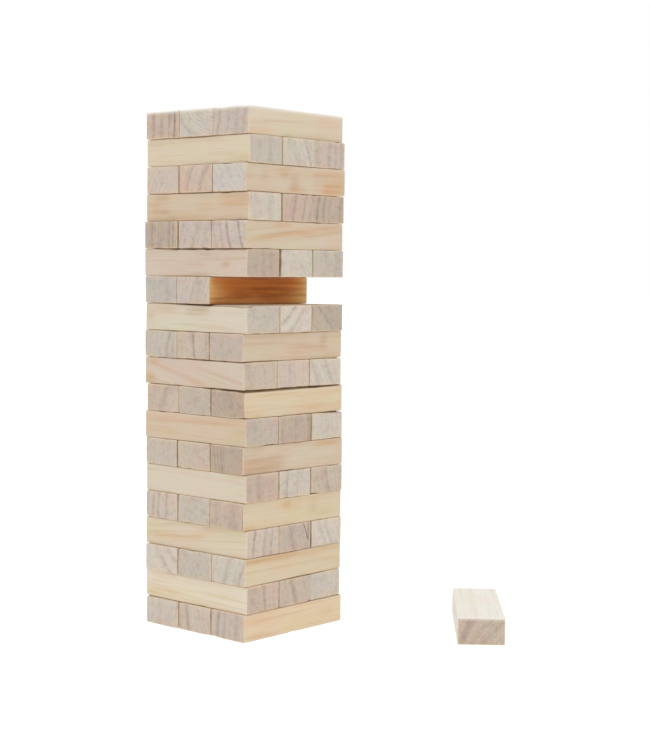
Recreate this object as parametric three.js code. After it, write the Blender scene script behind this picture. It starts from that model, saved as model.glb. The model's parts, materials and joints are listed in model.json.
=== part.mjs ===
// Giant tumbling tower: 57 equal softwood blocks stacked loose, three to a layer, each layer a quarter turn
// from the one under it. One block has been pulled out of layer 13 and lies on the ground beside the tower.
// Millimetres, +Z up. The origin is on the ground under the middle of the tower.
// Odd layers, counted from the ground, run along Y and even layers run along X.

import * as THREE from 'three';

// One block
const BLOCK_LENGTH = 180;
const BLOCK_WIDTH = 58;
const BLOCK_HEIGHT = 34;
const EASED_EDGE = 1.2; // every edge is planed off by this much

// The stack
const REST_GAP = 0.3; // clearance between a layer and the one it lies on
const LAYER_PITCH = BLOCK_HEIGHT + REST_GAP;
const QUARTER_TURN = 90; // degrees from one layer to the next

// How each layer was laid by hand, from the ground up: where its middle is, its twist in degrees, and the two
// gaps between its blocks, the one on the -X side (or -Y side in an even layer) first
const LAYERS = [
  { x: 1.0, y: 1.0, twist: 0, gaps: [1.0, 0.5] },
  { x: -1.0, y: 1.0, twist: 0.5, gaps: [0.5, 0.5] },
  { x: 0.0, y: 0.0, twist: 1, gaps: [1.5, 0.5] },
  { x: -0.5, y: 1.0, twist: 0.5, gaps: [0.5, 1.0] },
  { x: 0.5, y: 0.0, twist: -0.5, gaps: [1.0, 0.5] },
  { x: 1.0, y: 0.0, twist: -0.5, gaps: [0.5, 2.5] },
  { x: 0.5, y: 0.0, twist: -1, gaps: [2.0, 0.5] },
  { x: 0.5, y: -0.5, twist: 0, gaps: [0.5, 2.5] },
  { x: 0.5, y: 0.5, twist: 0, gaps: [1.0, 0.5] },
  { x: -1.5, y: -1.0, twist: -1, gaps: [0.5, 1.0] },
  { x: -1.5, y: -0.5, twist: -0.5, gaps: [0.5, 0.5] },
  { x: 0.5, y: -1.0, twist: 0, gaps: [0.5, 2.0] },
  { x: -1.0, y: -1.5, twist: 0, gaps: [0.5, 1.0] },
  { x: -1.0, y: -0.5, twist: 0.5, gaps: [3.0, 0.5] },
  { x: 0.0, y: -2.0, twist: 0.5, gaps: [2.5, 0.5] },
  { x: -0.5, y: 0.5, twist: 0.5, gaps: [2.5, 0.5] },
  { x: 0.5, y: 0.5, twist: -0.5, gaps: [2.0, 0.5] },
  { x: 0.0, y: 1.0, twist: 0.5, gaps: [1.0, 0.5] },
  { x: -2.0, y: 0.5, twist: 2, gaps: [0.5, 0.5] },
];
const END_STEP = 0.6; // most that a block's end stands in or out of its layer's middle

// The three places in a layer, in the order of the gaps
const ODD_PLACES = ['left', 'middle', 'right'];
const EVEN_PLACES = ['front', 'middle', 'back'];

// The block that has been pulled out: its old place, and where it lies on the ground
const PULLED = { layer: 13, place: 'right', x: 247, y: 175, turn: 39 };

// Planed softwood in three natural tones
const TONES = ['#e6d3b0', '#ead9ba', '#dfc69c'];
const WOOD_ROUGHNESS = 0.7;

// The plan of a block without its planed-off edges, which the bevel adds back all round
function blockPlan() {
  const halfWidth = BLOCK_WIDTH / 2 - EASED_EDGE;
  const halfLength = BLOCK_LENGTH / 2 - EASED_EDGE;
  const cut = EASED_EDGE * (Math.SQRT2 - 1);
  const plan = new THREE.Shape();
  plan.moveTo(-halfWidth + cut, -halfLength);
  plan.lineTo(halfWidth - cut, -halfLength);
  plan.lineTo(halfWidth, -halfLength + cut);
  plan.lineTo(halfWidth, halfLength - cut);
  plan.lineTo(halfWidth - cut, halfLength);
  plan.lineTo(-halfWidth + cut, halfLength);
  plan.lineTo(-halfWidth, halfLength - cut);
  plan.lineTo(-halfWidth, -halfLength + cut);
  plan.closePath();
  return plan;
}

// A block lying flat along Y, with its underside at Z = 0
function blockGeometry() {
  const geometry = new THREE.ExtrudeGeometry(blockPlan(), {
    depth: BLOCK_HEIGHT - 2 * EASED_EDGE,
    bevelSize: EASED_EDGE,
    bevelThickness: EASED_EDGE,
    bevelSegments: 1,
  });
  geometry.translate(0, 0, EASED_EDGE);
  return geometry;
}

function block(name, geometry, toneIndex) {
  const material = new THREE.MeshStandardMaterial({
    color: TONES[toneIndex % TONES.length],
    roughness: WOOD_ROUGHNESS,
    metalness: 0,
  });
  const mesh = new THREE.Mesh(geometry, material);
  mesh.name = name;
  return mesh;
}

// One layer in a frame of its own, where the blocks run along Y and stand side by side along X
function layer(number, lay, geometry) {
  const isOdd = number % 2 === 1;
  const places = isOdd ? ODD_PLACES : EVEN_PLACES;
  const across = 3 * BLOCK_WIDTH + lay.gaps[0] + lay.gaps[1];
  const group = new THREE.Group();
  let x = -across / 2 + BLOCK_WIDTH / 2;
  places.forEach((place, index) => {
    if (number !== PULLED.layer || place !== PULLED.place) {
      const name = `layer_${String(number).padStart(2, '0')}_${place}`;
      const mesh = block(name, geometry, number + 2 * index);
      mesh.position.set(x, END_STEP * Math.sin(5 * number + 2 * index), 0);
      group.add(mesh);
    }
    x += BLOCK_WIDTH + (lay.gaps[index] ?? 0);
  });
  group.position.set(lay.x, lay.y, (number - 1) * LAYER_PITCH);
  group.rotation.z = THREE.MathUtils.degToRad(lay.twist + (isOdd ? 0 : QUARTER_TURN));
  return group;
}

function pulledBlock(geometry) {
  const mesh = block('pulled_block', geometry, 1);
  mesh.position.set(PULLED.x, PULLED.y, 0);
  mesh.rotation.z = THREE.MathUtils.degToRad(PULLED.turn);
  return mesh;
}

function tumblingTower() {
  const geometry = blockGeometry();
  const tower = new THREE.Group();
  LAYERS.forEach((lay, index) => tower.add(layer(index + 1, lay, geometry)));
  tower.add(pulledBlock(geometry));
  return tower;
}

const group = tumblingTower();
export default group;
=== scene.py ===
import json
import math
import random

import bpy
import numpy as np
from mathutils import Matrix, Vector

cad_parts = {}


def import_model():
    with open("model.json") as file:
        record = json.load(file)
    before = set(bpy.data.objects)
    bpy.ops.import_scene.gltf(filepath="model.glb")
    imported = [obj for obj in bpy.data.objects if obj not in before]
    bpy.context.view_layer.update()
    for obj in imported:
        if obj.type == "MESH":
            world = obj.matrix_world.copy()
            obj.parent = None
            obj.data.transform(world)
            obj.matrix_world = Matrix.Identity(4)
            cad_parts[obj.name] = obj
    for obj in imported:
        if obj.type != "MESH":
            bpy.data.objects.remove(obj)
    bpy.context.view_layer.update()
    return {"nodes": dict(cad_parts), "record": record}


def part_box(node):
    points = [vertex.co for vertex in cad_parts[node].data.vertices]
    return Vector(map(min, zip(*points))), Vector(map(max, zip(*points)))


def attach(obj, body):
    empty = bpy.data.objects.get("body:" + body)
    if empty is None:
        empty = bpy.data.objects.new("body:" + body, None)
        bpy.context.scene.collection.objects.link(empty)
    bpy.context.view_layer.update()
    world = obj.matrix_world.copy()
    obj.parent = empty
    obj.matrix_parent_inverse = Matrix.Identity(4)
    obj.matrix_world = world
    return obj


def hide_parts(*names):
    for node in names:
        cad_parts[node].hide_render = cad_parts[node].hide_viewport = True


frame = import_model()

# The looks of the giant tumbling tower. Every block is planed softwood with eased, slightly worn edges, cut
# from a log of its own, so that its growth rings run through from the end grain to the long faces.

SEED = 41
MM_PER_M = 1000

# --- Camera ---
AZIMUTH = math.radians(41.44)  # round the tower's axis
DISTANCE = 2.0276  # from the tower's axis, level
SIDE_STEP = 0.1032  # to the right of the tower
EYE_HEIGHT = 0.4552
PITCH_DOWN = math.radians(3.797)
ROLL = math.radians(0.552)
LENS = 75.94  # mm
SENSOR = 36.0  # mm across
CLIP_END = 100.0

# --- Light ---
WHITE = (1.0, 1.0, 1.0, 1.0)
WORLD_LIGHT = 0.78
BACKDROP_WHITE = 1.0
TOP_LIGHT = 1.1  # W/m2, from a wide overhead diffuser
TOP_LIGHT_SPREAD = math.radians(70)
TOP_LIGHT_HEIGHT = 3.0
FLOOR_RADIUS = 30.0
FLOOR_SIDES = 64
FLOOR_COLOUR = (0.4, 0.4, 0.4, 1.0)
FLOOR_ROUGHNESS = 0.9
FLOOR_GLOW = 0.72  # it is a light table, so that hardly any shadow shows

# --- Block mesh ---
AWAY = np.array([-1.0, 1.0])  # level, away from the tower's front corner
HALF_LENGTH = 0.09  # of a block
HALF_TOWER = 0.09
EDGE_RADIUS = 0.0017
EDGE_STEPS = 3
SUPPORT = 0.0006  # a line of vertices this far inside each eased edge keeps the faces flat
CELLS = (0.004, 0.006, 0.0026)  # size of the mesh's cells across, along and up the block
TINY = 1e-9
NO_LEAN = 1e-6  # a normal that leans less than this along an axis doesn't lean that way
TIGHT_EDGE = 0.45  # the edges along a tight joint are rounded by this share of the radius
TIGHT_BELOW = 0.4  # a joint less open than this counts as tight, more or less
TIGHTEST = -0.5  # the opening, as a share of TIGHT_BELOW, below which a joint gets no tighter
CORNER_REACH = 0.006  # a tight edge gets its full rounding back this near to a block's corner
WORN_SHARE = 0.25  # how much the edge radius varies
WORN_SCALE = 45  # and how quickly, in radians per metre
WAVE_SPAN = (0.5, 1.5)  # times a random number between these, for each axis
SECOND_WAVE = 1.7  # it varies in two waves: how much quicker the second one is
FIRST_SHARE = 0.6  # and the share of the first
DENTS = 7  # knocks on each block
DENTS_ON_ENDS = 0.4  # share of them on the edges of its ends
DENT_DEPTH = (0.0002, 0.0007)
DENT_REACH = (0.003, 0.007)
OPEN_JOINT = 0.0011  # how much lower the top edge is along a fully open joint
LOWERED_FROM = 0.4  # the top edge is lowered along joints more open than this
LOWERED_MOST = 1.8  # and at most by this many times OPEN_JOINT
LOWERED_DEPTH = 0.03  # the lowering fades out this far in
LOWERED_EDGE = 2.5 * EDGE_RADIUS  # and this far down

# --- Painted shade and highlights, patches and grain on a block ---
GROOVE_SHADE_POWER = 1.5  # how quickly the painted shade on a bed joint's edge fades as the edge turns upright
RIM_HIGHLIGHT_REACH = 0.0036  # the end grain gets a warm painted highlight this close to its edges
CREST_HIGHLIGHT_DEPTH = 0.0022  # how far down from the top the uppermost edges carry a painted highlight
FLAT_TOP = EDGE_RADIUS * 0.02  # the top face itself, down to this depth, gets no painted highlight
COVERED_CREST_HIGHLIGHT = 0.12  # how strong the painted highlight is on the upper edges that another block lies on
JOINT_SHADE_DEPTH = 0.005  # the faces between blocks carry painted shade this far in from the ends
BED_SHADE_DEPTH = EDGE_RADIUS * 1.5  # and on the beds this far in
JOINT_SHADE_FULL = EDGE_RADIUS * 0.5  # it is at its full strength this far in
JOINT_SHADE_EDGE = EDGE_RADIUS * 0.7  # how far the painted shade reaches from a joint on to the faces that show
OUTER_REACH = 0.008  # vertices this near to the tower's face belong to its joints
FAR_JOINT = 0.25  # how open the joints on the two far sides are
PATCH_DEPTH = (0.012, 0.010)  # patches start this far in from the long side, and are full this much nearer it
PATCH_FALL = 0.7  # how softly patches fade out
# Least and most of each value of a random patch, in the order of the patch tables below
RANDOM_PATCH = ((10, 170), (4, 30), (8, 45), (1.5, 6), (0.25, 0.65), (-0.06, 0.06))
MOST_PATCHES = 3  # random ones of each kind on a block
LOG_SLOPES = (0.03, 0.02)  # most that the grain leans across and up, in metres per metre
LOG_LENGTH = 40  # the blocks are cut from anywhere along logs this long
FAR_OFF = 9.0  # the place, by a crack, of what is nowhere near one
SLOT_SHADE_SIDE = 0.002  # how far the slot's painted shade reaches round the edge
SLOT_LIGHT_SHADE_REACH = 0.003  # the slot's painted shade is a lighter gold within this distance of its ends
SLOT_DEEP_SHADE_REACH = 0.038  # and deep amber painted shade within this further distance
SLOT_SHADE_MIDDLE = 0.88  # how deep the painted shade is half-way up
SLOT_SHADE_RISE = 0.37  # and how much deeper the painted shade is at the top than there

# --- Wood tones, as the faces look in even light, in sRGB ---
END_TONES = {
    "ivory": (215, 205, 192),
    "pale": (209, 200, 187),
    "cool": (206, 200, 191),
    "blush": (209, 195, 181),
    "grey": (201, 191, 178),
    "ash": (197, 189, 178),
    "mauve": (204, 191, 180),
    "beige": (203, 188, 172),
    "rosy": (208, 189, 173),
    "pink": (202, 183, 167),
    "dun": (197, 185, 171),
    "dusk": (198, 183, 171),
    "brown": (193, 177, 161),
    "drab": (193, 175, 160),
    "khaki": (192, 180, 164),
    "umber": (189, 172, 155),
}
SIDE_TONES = {
    "pale": (215, 203, 185),
    "cream": (217, 203, 181),
    "yellow": (217, 200, 172),
    "ivory": (226, 215, 196),
    "apricot": (225, 204, 175),
    "honey": (210, 191, 168),
    "rose": (210, 193, 177),
    "white": (231, 229, 222),
}
# Painted highlight along the eased edges
EDGE_HIGHLIGHT = (226, 211, 188)
# Painted highlight on the upper edges
CREST_HIGHLIGHT = (242, 240, 236)
# Painted shade on the slot's face: a lighter gold near its ends, deep amber further in
SLOT_LIGHT_SHADE = (222, 176, 112)
SLOT_DEEP_SHADE = (209, 127, 61)
# What a feature does to the colour of the wood: the share of each primary that it leaves
LATE_SIDE = (0.86, 0.74, 0.58)
LATE_END = (0.56, 0.52, 0.50)
PATCH_TINTS = {"warm": (0.95, 0.77, 0.60), "brown": (0.87, 0.79, 0.74), "pale": (0.99, 1.06, 1.12)}
STREAK = (0.88, 0.79, 0.67)
ROSE = (1.01, 0.96, 0.935)
KHAKI = (0.98, 1.0, 0.93)
ROSE_END = (1.01, 0.95, 0.94)
SAGE_END = (0.96, 1.0, 0.97)
LILAC_END = (0.97, 0.95, 1.0)
MOTTLE_WARM = (1.02, 0.98, 0.98)
MOTTLE_COOL = (0.975, 1.0, 1.0)
BLOTCH = (0.88, 0.86, 0.83)
PORE = (0.83, 0.80, 0.76)
# Stain and streaks in the slot's painted shade
SLOT_SHADE_STAIN = (0.84, 0.76, 0.7)
SLOT_SHADE_STREAK = (0.76, 0.68, 0.6)
# Warm painted highlight round the end grain's edges
RIM_HIGHLIGHT = (1.09, 1.01, 0.88)
# Painted shade in the grooves along the bed joints
GROOVE_SHADE = (0.99, 0.89, 0.78)
# Painted shade in the joints between blocks
JOINT_SHADE = (0.33, 0.19, 0.115)
CHECK = (0.4, 0.33, 0.28)

# --- Patterns in the wood ---
# Each noise: cells per metre across (twice) and along the log, detail, roughness, and how far it is moved off
# the others
NOISES = {
    "sway": ((22.0, 22.0, 5.0), 1.0, 0.5, None),
    "ripple": ((160.0, 160.0, 20.0), 2.0, 0.5, None),
    "blotch": ((140.0, 140.0, 30.0), 3.0, 0.5, None),
    "fibres": ((700.0, 700.0, 14.0), 3.0, 0.6, None),
    "streaks": ((220.0, 220.0, 7.0), 2.0, 0.5, None),
    "cloud": ((42.0, 42.0, 16.0), 3.0, 0.5, None),
    "stain": ((60.0, 60.0, 18.0), 2.0, 0.5, (3.0, 5.0, 7.0)),
    "pores": ((600.0, 600.0, 600.0), 4.0, 0.7, None),
    "mottle": ((120.0, 120.0, 60.0), 2.0, 0.5, (9.0, 2.0, 4.0)),
}
SWAY = 0.005  # how far the rings sway along the log
RIPPLE = 0.002  # and how far they ripple
# What tints the long faces, the end grain and the slot's face: the noise, where the tint starts, where it is
# full, how strong it is there, and the tint
SIDE_TINTS = (
    ("cloud", 0.5, 0.68, 1.0, ROSE),
    ("cloud", 0.5, 0.33, 1.0, KHAKI),
    ("streaks", 0.5, 0.8, 0.6, STREAK),
    ("fibres", 0.45, 0.8, 0.45, STREAK),
)
SIDE_RINGS = 0.45  # the rings' strength on the long faces, as a share of that on the end grain
END_TINTS = (
    ("cloud", 0.5, 0.7, 1.0, ROSE_END),
    ("cloud", 0.5, 0.3, 1.0, SAGE_END),
    ("stain", 0.5, 0.3, 1.0, LILAC_END),
    ("mottle", 0.5, 0.7, 1.0, MOTTLE_WARM),
    ("mottle", 0.5, 0.3, 1.0, MOTTLE_COOL),
    ("blotch", 0.48, 0.72, 0.75, BLOTCH),
    ("pores", 0.47, 0.66, 0.85, PORE),
)
# Tints of the painted shade on the slot's face
SLOT_SHADE_TINTS = (
    ("stain", 0.4, 0.65, 0.8, SLOT_SHADE_STAIN),
    ("streaks", 0.4, 0.65, 1.0, SLOT_SHADE_STREAK),
)
RING_START = (0.15, 0.3)  # where a ring's late wood starts: the earliest, and how much later at most
RING_DARKEST = 0.85  # and where it is darkest
RING_END = 0.8  # where its sharp end starts
OTHER_CHANCE = 7.31  # turns one random share into another
BAND_EDGE = 2.2  # a dark ring fades out over this many of its half widths
# How a noise varies a strength: the noise's low and high values, and the strength at each
RING_SPAN = (0.3, 0.7, 0.75, 1.1)
RAGGED_BY_STREAKS = (0.3, 0.7, -0.3, 0.3)
RAGGED_BY_STAIN = (0.3, 0.7, -0.15, 0.15)
RIM_HIGHLIGHT_SPAN = (0.35, 0.6, 0.15, 1.0)
JOINT_SHADE_SPAN = (0.35, 0.6, 1.3, 0.7)
EDGE_HIGHLIGHT_SPAN = (0.35, 0.6, 0.1, 0.4)
END_SPAN = (0.35, 0.65)  # where on an eased edge the long face's wood turns to end grain
SLOT_SHADE_UNEVEN = 0.5  # how much the stain noise shifts the depth of the slot's painted shade
CRACK_WALL = (0.2, 0.8)  # where a crack's line fades out, in line widths
CRACK_START = (-0.02, 0.0)  # where along it a crack sets in
CRACK_TIP = (1.0, 1.05)  # and where it ends
SIDE_RELIEF = 0.5  # how much rings and fibres stand out
END_RELIEF = 0.4
BUMP = {"Strength": 0.35, "Distance": 0.0003}
SIDE_ROUGHNESS = (0.52, 0.18)  # the least, and how much the fibres add
END_ROUGHNESS = 0.15  # more on the end grain
SPECULAR = 0.12

# --- The blocks ---
# The tables below name each block by its layer and place, without the word layer.
# Every block, from the top layer down: end tone, side tone, bearing of the pith as seen on the end that shows
# (degrees, 0 to the right, 90 up), its distance (mm), spacing of the rings (mm), their strength, and how much
# one ring differs from the next
GRAIN = {
    "19_left": ("beige", "cream", 180, 400, 11, 0.25, 0.6),
    "19_middle": ("pale", "cream", 58, 52, 5, 0.3, 0.6),
    "19_right": ("mauve", "cream", 172, 200, 6, 0.2, 0.6),
    "18_front": ("grey", "cream", 0, 300, 8, 0.12, 0.8),
    "18_middle": ("pale", "pale", 205, 120, 8, 0.2, 0.5),
    "18_back": ("mauve", "cream", 0, 300, 6, 0.15, 0.4),
    "17_left": ("blush", "cream", -40, 120, 7, 0.15, 0.9),
    "17_middle": ("rosy", "honey", -21, 70, 8, 0.15, 0.8),
    "17_right": ("cool", "honey", 220, 200, 9, 0.12, 0.9),
    "16_front": ("pale", "honey", 0, 300, 8, 0.12, 0.6),
    "16_middle": ("pink", "cream", -15, 120, 8, 0.15, 0.9),
    "16_back": ("brown", "cream", -8, 200, 6, 0.2, 0.7),
    "15_left": ("brown", "honey", 180, 300, 5.5, 0.35, 0.5),
    "15_middle": ("mauve", "cream", -18, 150, 8, 0.15, 0.8),
    "15_right": ("mauve", "honey", 11, 115, 5, 0.1, 0.5),
    "14_front": ("drab", "rose", 0, 160, 7, 0.12, 0.9),
    "14_middle": ("pale", "cream", 30, 80, 7, 0.15, 0.7),
    "14_back": ("grey", "cream", 180, 300, 7, 0.15, 0.5),
    "13_left": ("ash", "cream", 180, 200, 7, 0.15, 0.9),
    "13_middle": ("mauve", "honey", -20, 150, 8, 0.15, 0.8),
    "12_front": ("grey", "pale", 0, 250, 9, 0.12, 0.8),
    "12_middle": ("ivory", "cream", 134, 150, 9, 0.15, 0.6),
    "12_back": ("khaki", "cream", 224, 120, 9, 0.15, 0.6),
    "11_left": ("grey", "cream", -12, 250, 9, 0.15, 0.6),
    "11_middle": ("beige", "cream", 185, 289, 8, 0.12, 0.6),
    "11_right": ("dusk", "honey", 200, 45, 5, 0.2, 0.9),
    "10_front": ("beige", "rose", 10, 220, 8, 0.12, 0.9),
    "10_middle": ("blush", "cream", 180, 260, 8, 0.15, 0.7),
    "10_back": ("pale", "cream", 27, 130, 9, 0.15, 0.7),
    "09_left": ("beige", "cream", -25, 160, 9, 0.15, 0.6),
    "09_middle": ("dun", "cream", 60, 200, 9, 0.12, 0.9),
    "09_right": ("umber", "yellow", 35, 90, 7, 0.15, 0.8),
    "08_front": ("dun", "honey", 0, 220, 9, 0.1, 0.9),
    "08_middle": ("brown", "honey", 180, 240, 6, 0.2, 0.8),
    "08_back": ("pale", "cream", 10, 150, 9, 0.12, 0.6),
    "07_left": ("grey", "cream", 0, 300, 9, 0.12, 0.8),
    "07_middle": ("beige", "cream", 0, 260, 9, 0.1, 0.8),
    "07_right": ("umber", "honey", 6, 200, 5, 0.2, 0.8),
    "06_front": ("pink", "pale", 0, 280, 8, 0.15, 0.6),
    "06_middle": ("pale", "cream", -4, 220, 6, 0.15, 0.4),
    "06_back": ("beige", "cream", 14, 100, 8, 0.15, 0.4),
    "05_left": ("blush", "cream", -6, 200, 6, 0.15, 0.4),
    "05_middle": ("grey", "cream", 70, 200, 9, 0.12, 0.8),
    "05_right": ("pink", "yellow", 180, 200, 8, 0.15, 0.5),
    "04_front": ("blush", "cream", -6, 200, 6, 0.12, 0.5),
    "04_middle": ("dusk", "cream", 10, 180, 7, 0.15, 0.6),
    "04_back": ("ivory", "cream", 22, 120, 8, 0.15, 0.4),
    "03_left": ("ivory", "cream", 38, 100, 9, 0.15, 0.5),
    "03_middle": ("grey", "cream", 30, 140, 8, 0.15, 0.8),
    "03_right": ("pale", "yellow", -18, 110, 9, 0.15, 0.6),
    "02_front": ("rosy", "ivory", 8, 200, 8, 0.15, 0.3),
    "02_middle": ("beige", "cream", 20, 120, 8, 0.15, 0.4),
    "02_back": ("pale", "cream", 0, 200, 9, 0.1, 0.8),
    "01_left": ("pale", "cream", 0, 240, 9, 0.12, 0.8),
    "01_middle": ("blush", "yellow", 12, 90, 7, 0.2, 0.5),
    "01_right": ("mauve", "apricot", -6, 200, 6, 0.2, 0.6),
    "pulled_block": ("beige", "white", -35, 70, 6, 0.3, 0.7),
}
# The darker rings on the ends that show: a point they pass through (mm to the right of the end's middle, mm
# up), half width (mm) and strength
BANDS = {
    "19_left": [(21, 0, 1.5, 0.9), (11.5, 0, 2.2, 0.4), (-1.7, 0, 2.6, 0.35), (-16, 0, 2.6, 0.45)],
    "19_middle": [(-14, -8, 1.5, 0.4), (-22, -4, 1.2, 0.25), (0, -14, 2, 0.2)],
    "19_right": [(-20, 0, 1.5, 0.5), (-5, 0, 1.7, 0.3), (9, 0, 3, 0.3), (22, 0, 2, 0.3)],
    "18_front": [(6.5, 0, 3, 0.25), (-12, 0, 4, 0.1)],
    "18_middle": [(15, 5, 1.7, 0.4), (-10, 3, 5, 0.2)],
    "18_back": [(-24, 0, 3, 0.3), (-2, 0, 3.2, 0.4), (11, 0, 2.6, 0.25), (21, 0, 3, 0.3)],
    "17_middle": [(-11.6, -0.7, 2, 0.38), (14.2, 1.7, 3.2, 0.38)],
    "16_front": [(-18, 0, 3, 0.15), (7, 0, 4, 0.2)],
    "16_middle": [(-9, -3, 2.2, 0.4), (9, -4, 1.7, 0.45), (24, 0, 2, 0.3)],
    "16_back": [(-22, -5, 2, 0.6), (-10, -2, 2.2, 0.4), (1, 0, 1.5, 0.2), (21, 0, 2.6, 0.35)],
    "15_left": [(-15.5, 0, 2.4, 0.45), (0, 0, 3, 0.2), (15.6, 0, 1.1, 0.7), (22.3, 0, 1, 0.7)],
    "15_middle": [(0, -3, 3, 0.25), (17, -3, 3, 0.25), (-24, 0, 1.5, 0.3)],
    "15_right": [(-24, 0, 1.3, 0.32), (-12.5, 0, 1.4, 0.4), (-1, 0, 1.8, 0.72), (19, 0, 1.7, 0.6)],
    "14_front": [(0, 0, 3, 0.18), (14, 0, 3, 0.15), (-12, 0, 2, 0.1)],
    "14_back": [(14, 0, 3, 0.3), (-5, 0, 6, 0.15), (21, 0, 2, 0.3)],
    "13_left": [(-14, 0, 3, 0.12), (-3, 0, 2, 0.12), (12, 0, 4, 0.2)],
    "13_middle": [(-1, -8, 2.2, 0.25), (12, 3, 3, 0.22)],
    "12_front": [(3, 0, 2.5, 0.12)],
    "12_middle": [(-20.6, -1.5, 2, 0.5), (-5.5, -8, 2, 0.35), (11.6, 6.8, 2.2, 0.3)],
    "12_back": [(-5, 3, 1.8, 0.45), (10, 6, 12, 0.2)],
    "11_left": [(13.5, 0, 2.4, 0.4), (25, 0, 3, 0.2)],
    "11_middle": [(2.3, 0, 1.6, 0.64), (24, 0, 2.6, 0.24)],
    "10_front": [(-20, 0, 5, 0.15)],
    "10_middle": [(-6, 0, 3, 0.18), (-22, 0, 3, 0.1)],
    "10_back": [(-19.5, -2, 2.6, 0.3), (4, 2, 2.6, 0.3)],
    "09_left": [(1, -1, 4.5, 0.35), (-16, 6, 4, 0.2)],
    "09_middle": [(3, 3, 5, 0.1)],
    "09_right": [(2, 0, 7, 0.12)],
    "08_front": [(-15, 0, 6, 0.1)],
    "08_middle": [(0, 2, 2.2, 0.25), (-24, 0, 4, 0.15), (25, 0, 2.6, 0.4)],
    "08_back": [(0, 0, 5, 0.1)],
    "07_left": [(14, 0, 1.6, 0.15)],
    "07_right": [(-21, 0, 1.3, 0.35), (-15, 0, 1, 0.35), (-9.5, 3, 1.2, 0.5), (-6, 3, 1, 0.3)],
    "06_front": [(-22, 0, 5, 0.2), (-6, 0, 3.6, 0.35)],
    "06_middle": [(-18.5, 0, 1.5, 0.22), (-14, 0, 1.6, 0.49), (5, 0, 3, 0.26)],
    "06_back": [(-1, 0, 1.8, 0.45), (-6, -4, 5, 0.2)],
    "05_left": [(-26, 0, 1.5, 0.3), (-15, 0, 2.4, 0.4), (-5.5, 0, 2, 0.4), (10, 0, 2.2, 0.38)],
    "05_right": [(-17, 0, 3, 0.2), (13, 0, 6, 0.3)],
    "04_front": [(-17.5, 0, 1.8, 0.65), (2, 0, 2.4, 0.45), (15, 0, 2, 0.4)],
    "04_middle": [(-8, 4, 3, 0.35)],
    "04_back": [(-9, 0, 2.6, 0.28), (4, -2, 2.6, 0.3)],
    "03_left": [(0, 0, 2.6, 0.35), (19, 6, 2.6, 0.3)],
    "03_right": [(-3.5, 0, 3, 0.35), (23, 0, 2.2, 0.4)],
    "02_front": [(-20, 0, 7, 0.3), (1.5, 0, 2.8, 0.5)],
    "02_middle": [(-3, 0, 2.8, 0.5)],
    "02_back": [(-17, 0, 7, 0.1)],
    "01_left": [(-6, 0, 4, 0.15), (12, 0, 5, 0.1)],
    "01_middle": [(-13, 0, 2.6, 0.55), (-27, -3, 2.2, 0.4)],
    "01_right": [(-16, 0, 2, 0.55), (-5, 0, 1.8, 0.38), (15, 0, 2.6, 0.35), (3, 0, 1.6, 0.15)],
    "pulled_block": [(-20, 2, 2.2, 0.4), (-2, 0, 2.6, 0.25), (12, -3, 3, 0.3), (-24, -13, 3, 0.5)],
}
BAND_COUNT = 4
SPARE_BAND = (0.0, 0.001, 0.0)  # radius, half width and strength

# Streaks and patches on the long faces that show: middle (mm from the end that shows, mm up), half length and
# half height (mm), strength, and rise per mm away from the end that shows
WARM_PATCHES = {
    "19_right": [(150, 24, 24, 3, 0.35, 0), (20, 4, 26, 4, 0.3, 0), (125, 4, 16, 3, 0.3, 0)],
    "18_front": [(16, 5, 22, 4, 0.35, 0), (75, 31, 40, 2, 0.4, 0)],
    "17_right": [(157, 10, 20, 8, 1.0, 0.1), (150, 26, 26, 3, 0.5, 0), (65, 30, 16, 3, 0.5, 0),
                 (88, 4, 16, 4, 0.5, 0)],
    "16_front": [(22, 26, 26, 8, 0.65, 0), (163, 16, 8, 7, 0.6, 0), (105, 5, 40, 4, 0.4, 0.02),
                 (75, 17, 14, 5, 0.3, 0)],
    "15_right": [(72, 17.5, 62, 2.4, 0.85, 0.11), (150, 27, 28, 4, 0.5, 0.05), (66, 32, 14, 4, 0.6, 0)],
    "14_front": [(36, 15, 7, 3, 0.6, 0), (75, 31, 14, 3, 0.3, 0)],
    "12_front": [(150, 27, 18, 5, 0.45, 0)],
    "11_right": [(125, 15, 30, 3, 0.4, -0.08), (60, 31, 40, 2, 0.3, 0), (160, 5, 12, 5, 0.25, 0)],
    "10_front": [(163, 28, 9, 5, 0.5, 0), (170, 7, 9, 7, 0.7, 0), (110, 14, 42, 3, 0.5, 0.27),
                 (50, 17, 45, 1.6, 0.3, 0.2)],
    "09_right": [(100, 26, 90, 2.5, 0.35, 0), (14, 4, 18, 4, 0.45, 0), (135, 4, 36, 4, 0.45, 0)],
    "08_front": [(90, 27, 85, 4, 0.4, 0), (150, 8, 30, 4, 0.3, 0), (10, 20, 14, 8, 0.3, 0)],
    "07_right": [(150, 30, 24, 3, 0.7, 0), (34, 8, 34, 7, 0.4, 0), (160, 4, 14, 2, 0.4, 0.15)],
    "06_front": [(12, 31, 16, 3, 0.45, -0.1)],
    "05_right": [(77, 25, 8, 5, 0.7, 0), (84, 24, 20, 7, 0.3, 0), (8, 3, 12, 4, 0.8, 0)],
    "04_front": [(140, 13, 36, 4, 0.5, -0.04), (84, 20, 26, 3, 0.45, -0.25), (66, 29, 8, 6, 0.35, 0)],
    "03_right": [(50, 30, 75, 4, 0.8, -0.03), (140, 31, 40, 3, 0.6, 0.03)],
    "02_front": [(150, 8, 30, 6, 0.6, 0), (95, 4, 40, 3, 0.4, 0)],
    "01_right": [(150, 18, 12, 9, 0.35, 0), (20, 25, 22, 5, 0.3, 0), (90, 31, 60, 2, 0.35, 0)],
}
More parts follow.
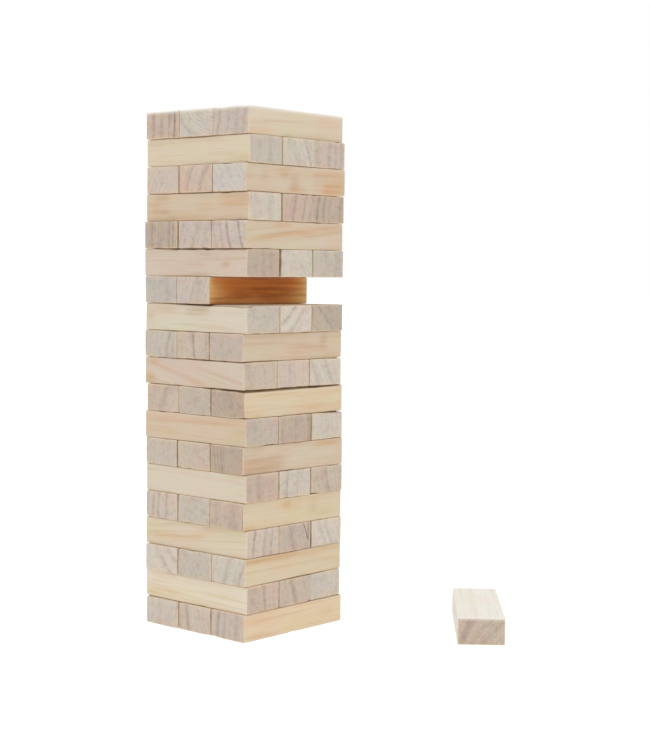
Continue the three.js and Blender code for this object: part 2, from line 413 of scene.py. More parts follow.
BROWN_PATCHES = {
    "19_right": [(100, 18, 60, 2, 0.35, 0.02)],
    "18_front": [(60, 2, 4, 2, 0.6, 0)],
    "17_right": [(32, 22, 6, 9, 0.5, 0), (68, 22, 6, 5, 0.5, 0), (86, 13, 7, 9, 0.8, 0),
                 (125, 15, 5, 9, 0.4, 0)],
    "16_front": [(150, 30, 12, 4, 0.8, 0), (147, 12, 8, 5, 0.7, 0), (140, 4, 30, 2, 0.4, 0)],
    "15_right": [(60, 19, 30, 1.6, 0.4, 0.1), (160, 27, 20, 4, 0.3, 0)],
    "14_front": [(36, 15, 8, 3, 0.6, 0), (75, 27, 14, 2, 0.4, 0.1), (110, 19, 60, 1, 0.3, 0),
                 (60, 22, 50, 1, 0.3, 0)],
    "12_front": [(86, 27, 19, 6, 1.0, 0), (172, 20, 8, 9, 0.5, 0), (140, 28, 20, 4, 0.4, 0)],
    "11_right": [(146, 24, 6, 8, 0.7, 0), (146, 15, 7, 2, 1.0, -0.2), (110, 16, 30, 2, 0.5, 0)],
    "10_front": [(110, 11, 42, 2, 0.4, 0.27), (40, 16, 40, 1.5, 0.5, 0.25)],
    "07_right": [(32, 10, 36, 8, 0.7, 0), (34, 17, 34, 1.5, 0.8, 0.02), (25, 30, 12, 4, 0.5, 0)],
    "05_right": [(77, 26, 8, 4, 0.5, 0), (126, 18, 9, 8, 0.5, 0), (150, 10, 16, 6, 0.3, 0)],
    "04_front": [(110, 16, 40, 1.6, 0.4, -0.06)],
    "03_right": [(50, 30, 75, 3.5, 0.35, -0.03)],
    "01_right": [(35, 5, 26, 3, 0.4, -0.05)],
}
PALE_PATCHES = {
    "17_right": [(22, 20, 9, 11, 1.0, 0), (64, 10, 10, 6, 0.8, 0), (108, 14, 9, 6, 0.5, 0)],
    "16_front": [(110, 22, 22, 6, 0.5, 0)],
    "15_right": [(110, 7, 70, 6, 0.95, 0.07)],
    "12_front": [(30, 20, 44, 10, 0.3, 0), (125, 8, 24, 8, 0.4, 0)],
    "11_right": [(20, 10, 26, 5, 0.4, 0), (155, 8, 14, 4, 0.5, 0)],
    "07_right": [(96, 18, 26, 13, 1.0, 0), (140, 16, 26, 8, 0.6, 0)],
    "05_right": [(34, 18, 24, 8, 0.5, 0)],
}
PATCHES = {"warm": WARM_PATCHES, "brown": BROWN_PATCHES, "pale": PALE_PATCHES}
# Blocks whose grain plainly runs uphill or downhill: rise per mm away from the end that shows
SLOPES = {
    "19_right": 0.06,
    "15_right": 0.08,
    "10_front": 0.22,
    "04_front": -0.1,
}
# Cracks in the end grain, in mm from the middle of the end (right, up): where each starts, its tip, how far
# to either side its two arms stand at the start (0 for a single line), and the width of its lines
CHECKS = {
    "04_middle": ((19.3, 17), (24, -6), 4.4, 1.3),
    # 05_right's is a single dark line down the right edge of its end, along the corner
    "05_right": ((28.3, 17), (28.3, -17), 0, 1.0),
}
# How open the joints on each layer are: 0 for tight, a little less for very tight, 1 for open, more for
# gaping. The joint above it: along the left side at its far end, middle and near end, then along the right
# side at its near end, middle and far end. Then the two joints between its blocks, from left to right.
# Layer 0 is the floor.
# The opening also sets how strong the painted shade along each joint is
JOINTS = {
    19: (0, 0, 0, 0, 0, 0, 0.2, 0.2),
    18: (0.1, 0.45, 0.25, 0.1, 0.05, 0.15, 0.05, 0.1),
    17: (0, 0, -0.2, 0.2, 0.3, 0, 0.25, 0),
    16: (0.3, 0.5, 0.4, 0.2, 0.35, 0.1, 0.6, 0.2),
    15: (0, 0.1, -0.2, 0.05, 0.3, 0, 0.05, 0.55),
    14: (0.2, 0.8, 0.55, 0.3, 0, 0, 0.55, 0.35),
    13: (0.2, 0.2, 0, 0.15, 0.1, 0.1, 0.5, 0.7),
    12: (0.1, 0.9, 1.5, 0.5, 0.3, 0.4, 0.3, 0.3),
    11: (0.25, 0.35, 0, 0.2, 0.25, 0, 0, 0.55),
    10: (0, 0.55, 0.6, 0.65, -0.2, 0.35, 0.5, 0),
    9: (0.15, 0.25, 1.4, 1.6, 1.6, 0.6, 0.2, 1.3),
    8: (0.05, 0.1, 0, 0, -0.1, 1.0, 0, 0.3),
    7: (0.05, 0.15, 0.1, 0, 0.35, 0.15, 0.4, 0.3),
    6: (0.2, 0.15, 0.15, -0.2, -0.1, -0.2, 1.5, 0),
    5: (-0.1, -0.2, 0, 0.15, 0.15, 0, 0.35, 0.9),
    4: (0.15, 0.2, 0.15, -0.2, 0.05, -0.2, 0.1, 0.55),
    3: (0, -0.2, -0.15, 0.25, 0.5, 0.15, 0.7, 0),
    2: (-0.1, 0.25, 0.2, 0, 0.5, -0.2, 0.5, 0.2),
    1: (0.3, 0.2, -0.2, 0.3, 0.25, 0.3, 0.15, 1.1),
    0: (0.2, 0.2, 0.2, 0.2, 0.2, 0.2, 0, 0),
}
SLOT_BLOCK = "layer_13_middle"  # its side shows in the slot, where it carries a deep amber painted shade
LOOSE_BLOCK = "pulled_block"
TOP_LAYER = "layer_19"


def linear(srgb):
    """An sRGB colour of 0 to 255 as a linear one of 0 to 1, with alpha."""
    scaled = [c / 255 for c in srgb]
    return (*(c / 12.92 if c <= 0.04045 else ((c + 0.055) / 1.055) ** 2.4 for c in scaled), 1.0)


def short(node):
    """A block's name in the tables above."""
    return node.removeprefix("layer_")


def add_object(name, data):
    """A new object in the scene."""
    obj = bpy.data.objects.new(name, data)
    bpy.context.scene.collection.objects.link(obj)
    return obj


# --- Node helpers ---
class Graph:
    """A short way to write the nodes of a material or world."""

    def __init__(self, owner):
        owner.use_nodes = True
        self.tree = owner.node_tree
        self.tree.nodes.clear()

    def node(self, kind, inputs=None, **settings):
        node = self.tree.nodes.new(kind)
        for name, value in settings.items():
            setattr(node, name, value)
        for key, value in (inputs or {}).items():
            self.feed(node.inputs[key], value)
        return node

    def feed(self, socket, value):
        if isinstance(value, bpy.types.NodeSocket):
            self.tree.links.new(value, socket)
        else:
            socket.default_value = value

    def math(self, operation, a, b=0.0, c=0.0, clamp=False):
        inputs = {0: a, 1: b, 2: c}
        return self.node("ShaderNodeMath", inputs, operation=operation, use_clamp=clamp).outputs[0]

    def attribute(self, name, output="Vector"):
        return self.node("ShaderNodeAttribute", attribute_name=name).outputs[output]

    def strength(self, name):
        return self.attribute(name, "Fac")

    def noise(self, vector, name):
        scale, detail, roughness, shift = NOISES[name]
        if shift:
            vector = self.node("ShaderNodeVectorMath", {0: vector, 1: shift}).outputs[0]
        place = self.node("ShaderNodeVectorMath", {0: vector, 1: scale}, operation="MULTIPLY").outputs[0]
        inputs = {"Vector": place, "Scale": 1.0, "Detail": detail, "Roughness": roughness}
        return self.node("ShaderNodeTexNoise", inputs).outputs["Fac"]

    def ramp(self, value, low, high, to_low=0.0, to_high=1.0):
        inputs = {"Value": value, "From Min": low, "From Max": high, "To Min": to_low, "To Max": to_high}
        return self.node("ShaderNodeMapRange", inputs, interpolation_type="SMOOTHSTEP").outputs["Result"]

    def mix(self, factor, a, b, blend="MIX"):
        colour_a, colour_b, result = 6, 7, 2  # the mix node's own numbers for its colour sockets
        node = self.node("ShaderNodeMix", data_type="RGBA", blend_type=blend)
        self.feed(node.inputs[0], factor)
        self.feed(node.inputs[colour_a], a)
        self.feed(node.inputs[colour_b], b)
        return node.outputs[result]

    def parts(self, vector):
        return self.node("ShaderNodeSeparateXYZ", {0: vector}).outputs

    def shade(self, inputs):
        """Ends the material in a principled shader with these inputs."""
        shader = self.node("ShaderNodeBsdfPrincipled", inputs)
        self.node("ShaderNodeOutputMaterial", {"Surface": shader.outputs["BSDF"]})


# --- Wood ---
def ring_radius(g, log, noises):
    """Distance from the pith, swaying a little along the log and rippling from place to place."""
    across, up, _ = g.parts(log)
    squares = g.math("ADD", g.math("POWER", across, 2.0), g.math("POWER", up, 2.0))
    radius = g.math("SQRT", squares)
    radius = g.math("MULTIPLY_ADD", g.math("SUBTRACT", noises["sway"], 0.5), SWAY, radius)
    return g.math("MULTIPLY_ADD", g.math("SUBTRACT", noises["ripple"], 0.5), RIPPLE, radius)


def growth_rings(g, radius, spacing, unevenness):
    """Late wood, 0 to 1: a dark band at the outside of each ring, each ring of its own width and strength."""
    phase = g.math("DIVIDE", radius, spacing)
    number = g.math("FLOOR", phase)
    share = g.math("FRACT", phase)
    chance = g.node("ShaderNodeTexWhiteNoise", {"W": number}, noise_dimensions="1D")
    earliest, later = RING_START
    start = g.math("MULTIPLY_ADD", chance.outputs["Value"], later, earliest)
    rise = g.node("ShaderNodeMapRange", {"Value": share, "From Min": start, "From Max": RING_DARKEST},
                  interpolation_type="SMOOTHERSTEP").outputs["Result"]
    band = g.math("MULTIPLY", rise, g.ramp(share, RING_END, 1.0, 1.0, 0.0))
    other = g.math("FRACT", g.math("MULTIPLY", chance.outputs["Value"], OTHER_CHANCE))
    weaker = g.math("MULTIPLY", unevenness, other)
    return g.math("MULTIPLY", band, g.math("SUBTRACT", 1.0, weaker))


def dark_bands(g, radius):
    """The few rings that stand out on each block."""
    total = 0.0
    for number in range(BAND_COUNT):
        place, half_width, strength = g.parts(g.attribute(f"band_{number}"))
        distance = g.math("DIVIDE", g.math("ABSOLUTE", g.math("SUBTRACT", radius, place)), half_width)
        band = g.math("MULTIPLY", strength, g.ramp(distance, 0.0, BAND_EDGE, 1.0, 0.0))
        total = g.math("MAXIMUM", total, band)
    return total


def tint(g, colour, amount, factor):
    """The colour multiplied by the factor, by the amount."""
    return g.mix(amount, colour, g.mix(1.0, colour, (*factor, 1.0), "MULTIPLY"))


def tint_by(g, colour, noises, tints):
    """The colour with each tint where its noise says."""
    for name, start, full, strength, factor in tints:
        colour = tint(g, colour, g.ramp(noises[name], start, full, 0.0, strength), factor)
    return colour


def wood():
    material = bpy.data.materials.new("softwood")
    g = Graph(material)
    log = g.attribute("log")
    spacing, strength, unevenness = g.parts(g.attribute("figure"))
    is_end = g.strength("is_end")
    noises = {name: g.noise(log, name) for name in NOISES}
    radius = ring_radius(g, log, noises)
    rings = g.math("MULTIPLY", growth_rings(g, radius, spacing, unevenness), strength)
    rings = g.math("MAXIMUM", rings, dark_bands(g, radius))
    rings = g.math("MULTIPLY", rings, g.ramp(noises["blotch"], *RING_SPAN), clamp=True)

    colour = g.mix(g.ramp(is_end, *END_SPAN), side_colour(g, noises, rings), end_colour(g, noises, rings))
    # painted highlight along the eased edges, left out in the slot
    highlighted = g.math("SUBTRACT", edge_highlight(g, noises), g.strength("slot_shade"), clamp=True)
    colour = g.mix(highlighted, colour, linear(EDGE_HIGHLIGHT))
    # painted highlight on the upper edges
    colour = g.mix(g.strength("crest_highlight"), colour, linear(CREST_HIGHLIGHT))
    # painted shade in the grooves along the bed joints
    colour = tint(g, colour, g.strength("groove_shade"), GROOVE_SHADE)
    # painted shade in the joints between blocks
    colour = tint(g, colour, painted_joint_shade(g, noises), JOINT_SHADE)
    surface(g, colour, rings, is_end, noises)
    return material


def surface(g, colour, rings, is_end, noises):
    """The shader: matt, the end grain more so, with the grain standing out a little."""
    fibres = noises["fibres"]
    side_relief = g.math("MULTIPLY_ADD", rings, SIDE_RELIEF, g.math("MULTIPLY", fibres, SIDE_RELIEF))
    end_relief = g.math("MULTIPLY_ADD", rings, END_RELIEF, noises["pores"])
    height = g.mix(is_end, side_relief, end_relief)
    bump = g.node("ShaderNodeBump", {**BUMP, "Height": height})
    least, more = SIDE_ROUGHNESS
    roughness = g.math("MULTIPLY_ADD", fibres, more, least)
    roughness = g.math("MULTIPLY_ADD", is_end, END_ROUGHNESS, roughness)
    g.shade({"Base Color": colour, "Roughness": roughness, "Normal": bump.outputs["Normal"],
             "Specular IOR Level": SPECULAR})


def side_colour(g, noises, rings):
    """The long faces: cream, with tan late wood, fine streaks, rosy and khaki clouds and patches."""
    colour = g.attribute("side_tone", "Color")
    colour = tint_by(g, colour, noises, SIDE_TINTS)
    colour = tint(g, colour, g.math("MULTIPLY", rings, SIDE_RINGS), LATE_SIDE)
    ragged = g.math("ADD", 1.0, g.ramp(noises["streaks"], *RAGGED_BY_STREAKS))
    ragged = g.math("ADD", ragged, g.ramp(noises["stain"], *RAGGED_BY_STAIN))
    for name, factor in PATCH_TINTS.items():
        patch = g.math("MULTIPLY", g.strength(name), ragged, clamp=True)
        colour = tint(g, colour, patch, factor)
    # the slot's face takes the painted shade in place of its wood
    slot_shade = g.strength("slot_shade")
    return g.mix(g.ramp(slot_shade, 0.0, 1.0), colour, slot_shade_colour(g, noises, slot_shade))


def slot_shade_colour(g, noises, slot_shade):
    """The painted shade on the face in the slot: golden near its ends, deep orange-brown in the middle, with
    streaks along it.
    """
    uneven = g.math("SUBTRACT", slot_shade, SLOT_SHADE_UNEVEN / 2)
    uneven = g.math("MULTIPLY_ADD", noises["stain"], SLOT_SHADE_UNEVEN, uneven)
    colour = g.mix(g.ramp(uneven, 1.0, 2.0), linear(SLOT_LIGHT_SHADE), linear(SLOT_DEEP_SHADE))
    return tint_by(g, colour, noises, SLOT_SHADE_TINTS)


def end_colour(g, noises, rings):
    """The end grain: greyer and darker than the long faces, mottled, with grey-brown rings and a warm painted
    highlight round its rim.
    """
    colour = g.attribute("end_tone", "Color")
    colour = tint_by(g, colour, noises, END_TINTS)
    colour = tint(g, colour, rings, LATE_END)
    # warm painted highlight near the end grain's edges
    rim_highlight = g.math("MULTIPLY", g.strength("rim_highlight"), g.ramp(noises["stain"], *RIM_HIGHLIGHT_SPAN))
    colour = tint(g, colour, rim_highlight, RIM_HIGHLIGHT)
    return tint(g, colour, crack(g), CHECK)


def crack(g):
    """A drying crack: one dark line, or two that meet at its tip."""
    across, along, spread = g.parts(g.attribute("check"))
    arm = g.math("MULTIPLY", spread, g.math("SUBTRACT", 1.0, along))
    distance = g.math("ABSOLUTE", g.math("SUBTRACT", g.math("ABSOLUTE", across), arm))
    inside = g.ramp(distance, *CRACK_WALL, 1.0, 0.0)
    inside = g.math("MULTIPLY", inside, g.ramp(along, *CRACK_START))
    return g.math("MULTIPLY", inside, g.ramp(along, *CRACK_TIP, 1.0, 0.0))


def painted_joint_shade(g, noises):
    """Painted shade along the joints, stronger in some places than in others."""
    return g.math("MULTIPLY", g.strength("joint_shade"), g.ramp(noises["stain"], *JOINT_SHADE_SPAN), clamp=True)


def edge_highlight(g, noises):
    """Where the eased edges get a painted highlight, stronger in some places than in others."""
    return g.math("MULTIPLY", g.strength("edge"), g.ramp(noises["stain"], *EDGE_HIGHLIGHT_SPAN))


# --- Block mesh ---
def axis_lines(half, cell):
    """The mesh's lines across one axis, from the low side to the high side: each line's place, with the eased
    edge's own part left out, and how far it leans out round the eased edge."""
    flat = half - EDGE_RADIUS
    inside = flat - SUPPORT
    cells = max(2, round(2 * inside / cell))
    inner = [(-inside + 2 * inside * i / cells, 0.0) for i in range(cells + 1)]
    round_part = [math.tan(math.radians(45 * i / EDGE_STEPS)) for i in range(EDGE_STEPS + 1)]
    high = [(flat, share) for share in round_part]
    low = [(-flat, -share) for share in reversed(round_part)]
    return low + inner + high


def shell(counts):
    """Vertices and quads of a box's surface as a lattice of counts lines along each axis."""
    index, faces = {}, []

    def vertex(key):
        return index.setdefault(key, len(index))

    for axis in range(3):
        a, b = (axis + 1) % 3, (axis + 2) % 3
        for side in (0, counts[axis] - 1):
            for i in range(counts[a] - 1):
                for j in range(counts[b] - 1):
                    ring = []
                    for di, dj in ((0, 0), (1, 0), (1, 1), (0, 1)):
                        key = [0, 0, 0]
                        key[axis], key[a], key[b] = side, i + di, j + dj
                        ring.append(vertex(tuple(key)))
                    faces.append(ring if side else ring[::-1])
    return np.array(list(index), int), faces


def block_points(keys, lines, rounding):
    """Where the lattice's vertices are on a block with rounded edges. Rounding is a share of EDGE_RADIUS."""
    flat = np.stack([np.array([lines[a][k][0] for k in keys[:, a]]) for a in range(3)], 1)
    out = np.stack([np.array([lines[a][k][1] for k in keys[:, a]]) for a in range(3)], 1)
    length = np.linalg.norm(out, axis=1, keepdims=True)
    outward = out / np.maximum(length, TINY)
    radius = EDGE_RADIUS * rounding[:, None]
    core = flat - np.sign(out) * (radius - EDGE_RADIUS)
    return core + outward * radius, outward


def tightness(points, outward, opening, half):
    """Share of the radius that each edge keeps: less along tight bed joints, all of it at the corners."""
    level = np.abs(outward[:, :2]) > NO_LEAN
    to_corner = np.where(level, np.inf, half[:2] - np.abs(points[:, :2])).min(1)
    on_bed = (np.abs(outward[:, 2]) > NO_LEAN) & (level.sum(1) == 1)
    away = np.clip((to_corner - EDGE_RADIUS) / CORNER_REACH, 0, 1)
    closed = 1 - np.clip(opening / TIGHT_BELOW, TIGHTEST, 1)
    return 1 - (1 - TIGHT_EDGE) * on_bed * away * closed


def wobble(points, phases, scale):
    """A smooth, repeatable unevenness of -1 to 1 at each point."""
    turns = points @ (phases[:3] * scale).reshape(3, 1)
    more = points[:, [1, 2, 0]] @ (phases[3:6] * scale).reshape(3, 1)
    first = np.sin(turns[:, 0] + phases[6])
    second = np.sin(SECOND_WAVE * more[:, 0] + phases[7])
    return (FIRST_SHARE * first + (1 - FIRST_SHARE) * second).clip(-1, 1)


def block_frame(node):
    """Middle, axes (across, along, up) and half sizes of a CAD block. Along points away from the end that
    shows."""
    mesh = frame["nodes"][node].data
    points = np.zeros(len(mesh.vertices) * 3)
    mesh.vertices.foreach_get("co", points)
    points = np.unique(points.reshape(-1, 3).round(6), axis=0)
    low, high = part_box(node)
    middle = np.array((low + high) / 2)
    level = points[:, :2] - points[:, :2].mean(0)
    along = np.linalg.svd(level, full_matrices=False)[2][0]
    if along @ AWAY < 0:
        along = -along
    x, y = along
    axes = np.array([[y, -x, 0.0], [x, y, 0.0], [0.0, 0.0, 1.0]])
    half = np.abs((points - middle) @ axes.T).max(0)
    return middle, axes, half


def dent(points, rng, half):
    """Small knocks along the eased edges."""
    for _ in range(DENTS):
        corner = np.array([rng.choice((-1, 1)) * half[0], rng.uniform(-1, 1) * half[1],
                           rng.choice((-1, 1)) * half[2]])
        if rng.random() < DENTS_ON_ENDS:
            corner = np.array([rng.uniform(-1, 1) * half[0], rng.choice((-1, 1)) * half[1],
                               rng.choice((-1, 1)) * half[2]])
        depth, reach = rng.uniform(*DENT_DEPTH), rng.uniform(*DENT_REACH)
        offset = points - corner
        fall = np.exp(-(offset ** 2).sum(1) / reach ** 2)[:, None]
        on_face = np.abs(corner) >= half - TINY
        points = points - np.sign(corner) * on_face * depth * fall
    return points


def pith(grain):
    """Where the middle of the log is, across and up from the middle of the end that shows, in metres."""
    bearing, distance = math.radians(grain[2]), grain[3] / MM_PER_M
    return distance * math.cos(bearing), distance * math.sin(bearing)


def log_position(points, node, grain, rng):
    """Each vertex in the log that the block was cut from: across from the pith, and along the grain."""
    pith_across, pith_up = pith(grain)
    slope_across, slope_up = [rng.uniform(-most, most) for most in LOG_SLOPES]
    slope_up = -SLOPES.get(short(node), slope_up)
    across = points[:, 0] - pith_across + slope_across * (points[:, 1] + HALF_LENGTH)
    up = points[:, 2] - pith_up + slope_up * (points[:, 1] + HALF_LENGTH)
    along = points[:, 1] + rng.uniform(0, LOG_LENGTH)
    return np.stack([across, up, along], 1)


def band_rings(node, grain):
    """Radius, half width (both in metres) and strength of each dark ring, made up to BAND_COUNT."""
    pith_across, pith_up = pith(grain)
    rings = []
    for across, up, half_width, strength in BANDS.get(short(node), []):
        radius = math.hypot(across / MM_PER_M - pith_across, up / MM_PER_M - pith_up)
        rings.append((radius, half_width / MM_PER_M, strength))
    return rings + [SPARE_BAND] * (BAND_COUNT - len(rings))


def patches_of(node, name):
    """The patches on a block's outer long side. On the tower's far sides they are a few at random."""
    if node == LOOSE_BLOCK or node.endswith(("right", "front")):
        return PATCHES[name].get(short(node), [])
    rng = random.Random(f"{SEED} {node} {name}")
    return [[rng.uniform(*span) for span in RANDOM_PATCH] for _ in range(rng.randint(1, MOST_PATCHES))]


def patch_strength(points, node, patches, half):
    """How strong a kind of patch is at each vertex of the block's outer long side."""
    shows = 1 if node.endswith(("right", "back")) else -1
    starts, full = PATCH_DEPTH
    on_side = np.clip((points[:, 0] * shows - (half[0] - starts)) / full, 0, 1)
    from_end = (points[:, 1] + half[1]) * MM_PER_M
    height = (points[:, 2] + half[2]) * MM_PER_M
    strength = np.zeros(len(points))
    for start, up, half_length, half_height, amount, rise in patches:
        along = (from_end - start) / half_length
        above = (height - up - rise * (from_end - start)) / half_height
        strength = np.maximum(strength, amount * np.exp(-PATCH_FALL * (along ** 4 + above ** 2)))
    return strength * on_side


def joint_sides(points, node):
    """How strong the painted shade of the joint on each vertex's long side is: 0 where that side lies against
    no block.
    """
    if node == LOOSE_BLOCK:
        return np.zeros(len(points))
    low_shade, high_shade = JOINTS[layer_of(node)][6:8]
    place = node.rsplit("_", 1)[1]
    low_joint = low_shade if place == "middle" else high_shade * (place in ("right", "back"))
    high_joint = high_shade if place == "middle" else low_shade * (place in ("left", "front"))
    if node == SLOT_BLOCK:
        high_joint = 0.0
    return np.where(points[:, 0] > 0, high_joint, low_joint)


def crest_highlight_strength(points, node, half):
    """A painted highlight on the upper edges, strongest on those that nothing lies on or against."""
    bare = node == LOOSE_BLOCK or node.startswith(TOP_LAYER)
    depth = half[2] - points[:, 2]
    crest_highlight = np.exp(-(depth / CREST_HIGHLIGHT_DEPTH) ** 2) * (depth > FLAT_TOP) * (1.0 if bare else COVERED_CREST_HIGHLIGHT)
    side_depth = half[0] - np.abs(points[:, 0])
    end_depth = half[1] - np.abs(points[:, 1])
    along_joint = side_depth < np.minimum(end_depth, 2 * EDGE_RADIUS)
    return crest_highlight * np.where(along_joint & (joint_sides(points, node) > 0), 0.0, 1.0)


def joint_opening(world, layer):
    """How open the joint above a layer is at points of its outer edges."""
    row = JOINTS[layer]
    places = (-HALF_TOWER, 0.0, HALF_TOWER)
    left = np.interp(world[:, 0], places, row[0:3])
    right = np.interp(world[:, 1], places, row[3:6])
    opening = np.full(len(world), FAR_JOINT)
    opening = np.where(world[:, 0] > HALF_TOWER - OUTER_REACH, right, opening)
    return np.where(world[:, 1] < OUTER_REACH - HALF_TOWER, left, opening)


def layer_of(node):
    return int(node.split("_")[1])


def openings(node, world, local):
    """How open the bed joint nearest to each vertex is. Edges that lie against nothing count as open."""
    if node == LOOSE_BLOCK:
        return np.ones(len(local))
    layer = layer_of(node)
    above = np.ones(len(local)) if node.startswith(TOP_LAYER) else joint_opening(world, layer)
    return np.where(local[:, 2] > 0, above, joint_opening(world, layer - 1))


def lower_top_edge(points, node, opening, half):
    """Along an open joint the top edge is a little low. The drop fades out away from the outer edges."""
    if node == LOOSE_BLOCK or node.startswith(TOP_LAYER):
        return points
    depth = np.minimum(half[1] - np.abs(points[:, 1]), half[0] - np.abs(points[:, 0]))
    top = np.clip((points[:, 2] - (half[2] - LOWERED_EDGE)) / EDGE_RADIUS, 0, 1)
    gape = np.clip((opening - LOWERED_FROM) / (1 - LOWERED_FROM), 0, LOWERED_MOST)
    lowered = points.copy()
    lowered[:, 2] -= OPEN_JOINT * gape * np.clip(1 - depth / LOWERED_DEPTH, 0, 1) * top
    return lowered


def joint_shade_strength(points, node, opening, half):
    """How much painted shade each vertex gets: the edges of the faces that lie against another block."""
    if node == LOOSE_BLOCK:
        return np.zeros(len(points))
    end_depth = half[1] - np.abs(points[:, 1])
    side_depth = half[0] - np.abs(points[:, 0])
    joint_side = joint_sides(points, node)
    on_joint = np.clip(1 - side_depth / (JOINT_SHADE_EDGE * np.maximum(joint_side, 1)), 0, 1)
    joint = np.minimum(joint_side, 1) * on_joint * np.clip(1 - (end_depth - JOINT_SHADE_FULL) / JOINT_SHADE_DEPTH, 0, 1)
    bed_side = np.where(points[:, 2] > 0, not node.startswith(TOP_LAYER), True)
    on_bed = bed_side * np.clip(1 - (half[2] - np.abs(points[:, 2])) / JOINT_SHADE_EDGE, 0, 1)
    outer = np.where(joint_side > 0, end_depth, np.minimum(end_depth, side_depth))
    bed = on_bed * np.minimum(opening, 1) * np.clip(1 - (outer - JOINT_SHADE_FULL) / BED_SHADE_DEPTH, 0, 1)
    return np.maximum(joint, bed)


def check_position(points, node):
    """Each vertex's place by a crack: across it (in line widths), along it (0 to 1), and its arms' spread."""
    if short(node) not in CHECKS:
        return np.full((len(points), 3), FAR_OFF)
    start, tip, spread, width = CHECKS[short(node)]
    start, run = np.array(start), np.array(tip) - np.array(start)
    length = np.linalg.norm(run)
    offset = points[:, [0, 2]] * MM_PER_M - start
    along = offset @ run / length ** 2
    across = (offset[:, 0] * run[1] - offset[:, 1] * run[0]) / length / width
    along = np.where(points[:, 1] < 0, along, FAR_OFF)
    return np.stack([across, along, np.full(len(points), spread / width)], 1)


def slot_shade_strength(points, node, half):
    """Painted shade on the slot's inner face: 1 where it is golden, near its ends, to 2 where it is deep
    amber.
    """
    if node != SLOT_BLOCK:
        return np.zeros(len(points))
    on_side = np.clip((points[:, 0] - (half[0] - SLOT_SHADE_SIDE)) / SLOT_SHADE_SIDE, 0, 1)
    from_end = half[1] - np.abs(points[:, 1])
    light_shade = np.clip(from_end / SLOT_LIGHT_SHADE_REACH, 0, 1)
    deep = np.clip((from_end - SLOT_LIGHT_SHADE_REACH) / SLOT_DEEP_SHADE_REACH, 0, 1) ** 0.5
    # painted shade, deeper towards the slot's top
    return on_side * (light_shade + deep * (SLOT_SHADE_MIDDLE + SLOT_SHADE_RISE * points[:, 2] / half[2]))


def set_attribute(mesh, name, kind, values):
    field = {"FLOAT": "value", "FLOAT_VECTOR": "vector", "FLOAT_COLOR": "color"}[kind]
    attribute = mesh.attributes.new(name, kind, "POINT")
    attribute.data.foreach_set(field, np.asarray(values, np.float32).ravel())


def worn_points(node, keys, lines, opening, half, rng):
    """The block's vertices with its edges worn unevenly, knocked, and low where a joint is open."""
    phases = np.array([rng.uniform(*WAVE_SPAN) * rng.choice((-1, 1)) for _ in range(6)]
                      + [rng.uniform(0, math.tau) for _ in range(2)])
    plain, outward = block_points(keys, lines, np.ones(len(keys)))
    worn = 1 + WORN_SHARE * wobble(plain, phases, WORN_SCALE)
    points, _ = block_points(keys, lines, tightness(plain, outward, opening, half) * worn)
    if node != SLOT_BLOCK:
        points = dent(points, rng, half)
    return lower_top_edge(points, node, opening, half)


def mark_wood(mesh, node, points, rng):
    """What the material needs to know of the wood: its place in the log, its rings, cracks and tones."""
    grain = GRAIN[short(node)]
    count = len(points)
    set_attribute(mesh, "log", "FLOAT_VECTOR", log_position(points, node, grain, rng))
    set_attribute(mesh, "figure", "FLOAT_VECTOR", [(grain[4] / MM_PER_M, grain[5], grain[6])] * count)
    for number, ring in enumerate(band_rings(node, grain)):
        set_attribute(mesh, f"band_{number}", "FLOAT_VECTOR", [ring] * count)
    set_attribute(mesh, "check", "FLOAT_VECTOR", check_position(points, node))
    set_attribute(mesh, "end_tone", "FLOAT_COLOR", [linear(END_TONES[grain[0]])] * count)
    set_attribute(mesh, "side_tone", "FLOAT_COLOR", [linear(SIDE_TONES[grain[1]])] * count)


def mark_surface(mesh, node, points, plain, outward, opening, half):
    """How strong each kind of colour, painted highlight and painted shade is at each vertex."""
    rounded = (np.abs(outward) > NO_LEAN).sum(1) > 1
    to_edge = np.sort(half - np.abs(plain), axis=1)[:, 1]
    strengths = {name: patch_strength(points, node, patches_of(node, name), half) for name in PATCHES}
    strengths["is_end"] = np.abs(outward[:, 1]) ** 2
    strengths["edge"] = rounded
    # painted shade on the eased edges along the bed joints
    strengths["groove_shade"] = rounded * np.abs(outward[:, 2]) ** GROOVE_SHADE_POWER
    # painted highlight near the end grain's edges
    strengths["rim_highlight"] = np.exp(-to_edge / RIM_HIGHLIGHT_REACH)
    strengths["joint_shade"] = joint_shade_strength(plain, node, opening, half)
    strengths["crest_highlight"] = crest_highlight_strength(plain, node, half)
    strengths["slot_shade"] = slot_shade_strength(points, node, half)
    for name, values in strengths.items():
        set_attribute(mesh, name, "FLOAT", values)


def build_block(node, material):
    """A wooden block in place of a CAD block."""
    rng = random.Random(f"{SEED} {node}")
    middle, axes, half = block_frame(node)
    lines = [axis_lines(h, cell) for h, cell in zip(half, CELLS)]
    keys, faces = shell([len(line) for line in lines])
    plain, outward = block_points(keys, lines, np.ones(len(keys)))
    opening = openings(node, middle + plain @ axes, plain)
    points = worn_points(node, keys, lines, opening, half, rng)

    mesh = bpy.data.meshes.new(node + "_wood")
    mesh.from_pydata(points.tolist(), [], faces, shade_flat=False)
    mark_wood(mesh, node, points, rng)
    mark_surface(mesh, node, points, plain, outward, opening, half)
    mesh.materials.append(material)

    piece = add_object(node + "_wood", mesh)
    turn = Matrix([list(row) for row in axes.T]).to_4x4()
    piece.matrix_world = Matrix.Translation(Vector(middle)) @ turn
    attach(piece, node)
    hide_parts(node)


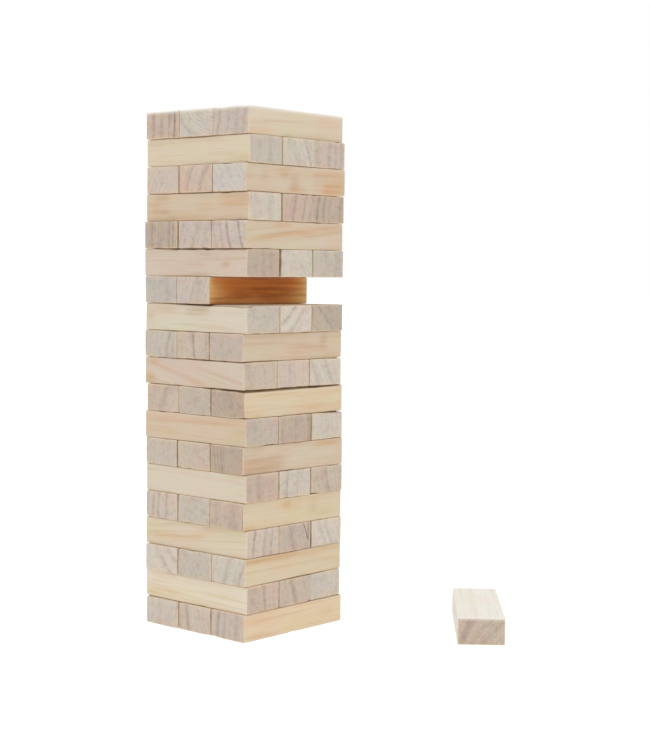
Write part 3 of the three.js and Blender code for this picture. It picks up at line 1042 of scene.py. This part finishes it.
# --- Stage ---
def camera():
    """The photo's viewpoint: off the tower's front corner, looking a little down."""
    back = Vector((math.sin(AZIMUTH), -math.cos(AZIMUTH), 0.0))
    right = Vector((math.cos(AZIMUTH), math.sin(AZIMUTH), 0.0))
    up = Vector((0.0, 0.0, 1.0))
    tilted_back = back * math.cos(PITCH_DOWN) + up * math.sin(PITCH_DOWN)
    tilted_up = up * math.cos(PITCH_DOWN) - back * math.sin(PITCH_DOWN)
    rolled_right = right * math.cos(ROLL) + tilted_up * math.sin(ROLL)
    rolled_up = tilted_up * math.cos(ROLL) - right * math.sin(ROLL)
    data = bpy.data.cameras.new("camera")
    data.lens = LENS
    data.sensor_width = SENSOR
    data.clip_end = CLIP_END
    obj = add_object("camera", data)
    place = back * DISTANCE + right * SIDE_STEP + up * EYE_HEIGHT
    turn = Matrix((rolled_right, rolled_up, tilted_back)).transposed().to_4x4()
    obj.matrix_world = Matrix.Translation(place) @ turn
    bpy.context.scene.camera = obj


def world():
    """Even white light all round, in front of a plain white backdrop."""
    studio = bpy.data.worlds.new("studio")
    g = Graph(studio)
    light = g.node("ShaderNodeBackground", {"Color": WHITE, "Strength": WORLD_LIGHT})
    backdrop = g.node("ShaderNodeBackground", {"Color": WHITE, "Strength": BACKDROP_WHITE})
    seen = g.node("ShaderNodeLightPath").outputs["Is Camera Ray"]
    mix = g.node("ShaderNodeMixShader", {0: seen, 1: light.outputs[0], 2: backdrop.outputs[0]})
    g.node("ShaderNodeOutputWorld", {"Surface": mix.outputs[0]})
    bpy.context.scene.world = studio


def overhead_light():
    """A wide, soft light from above."""
    data = bpy.data.lights.new("overhead", "SUN")
    data.energy = TOP_LIGHT
    data.angle = TOP_LIGHT_SPREAD
    add_object("overhead", data).location = (0.0, 0.0, TOP_LIGHT_HEIGHT)


def floor():
    """A plain round floor that glows."""
    mesh = bpy.data.meshes.new("floor")
    turns = [math.tau * i / FLOOR_SIDES for i in range(FLOOR_SIDES)]
    around = [(FLOOR_RADIUS * math.cos(turn), FLOOR_RADIUS * math.sin(turn), 0.0) for turn in turns]
    mesh.from_pydata(around, [], [list(range(FLOOR_SIDES))])
    material = bpy.data.materials.new("floor")
    Graph(material).shade({"Base Color": FLOOR_COLOUR, "Roughness": FLOOR_ROUGHNESS,
                           "Specular IOR Level": 0.0, "Emission Color": WHITE,
                           "Emission Strength": FLOOR_GLOW})
    mesh.materials.append(material)
    add_object("floor", mesh)


def stage():
    camera()
    world()
    floor()
    overhead_light()
    bpy.context.scene.view_settings.view_transform = "Standard"


# --- Everything ---
stage()
softwood = wood()
for subpart in frame["record"]["subparts"]:
    build_block(subpart["node"], softwood)
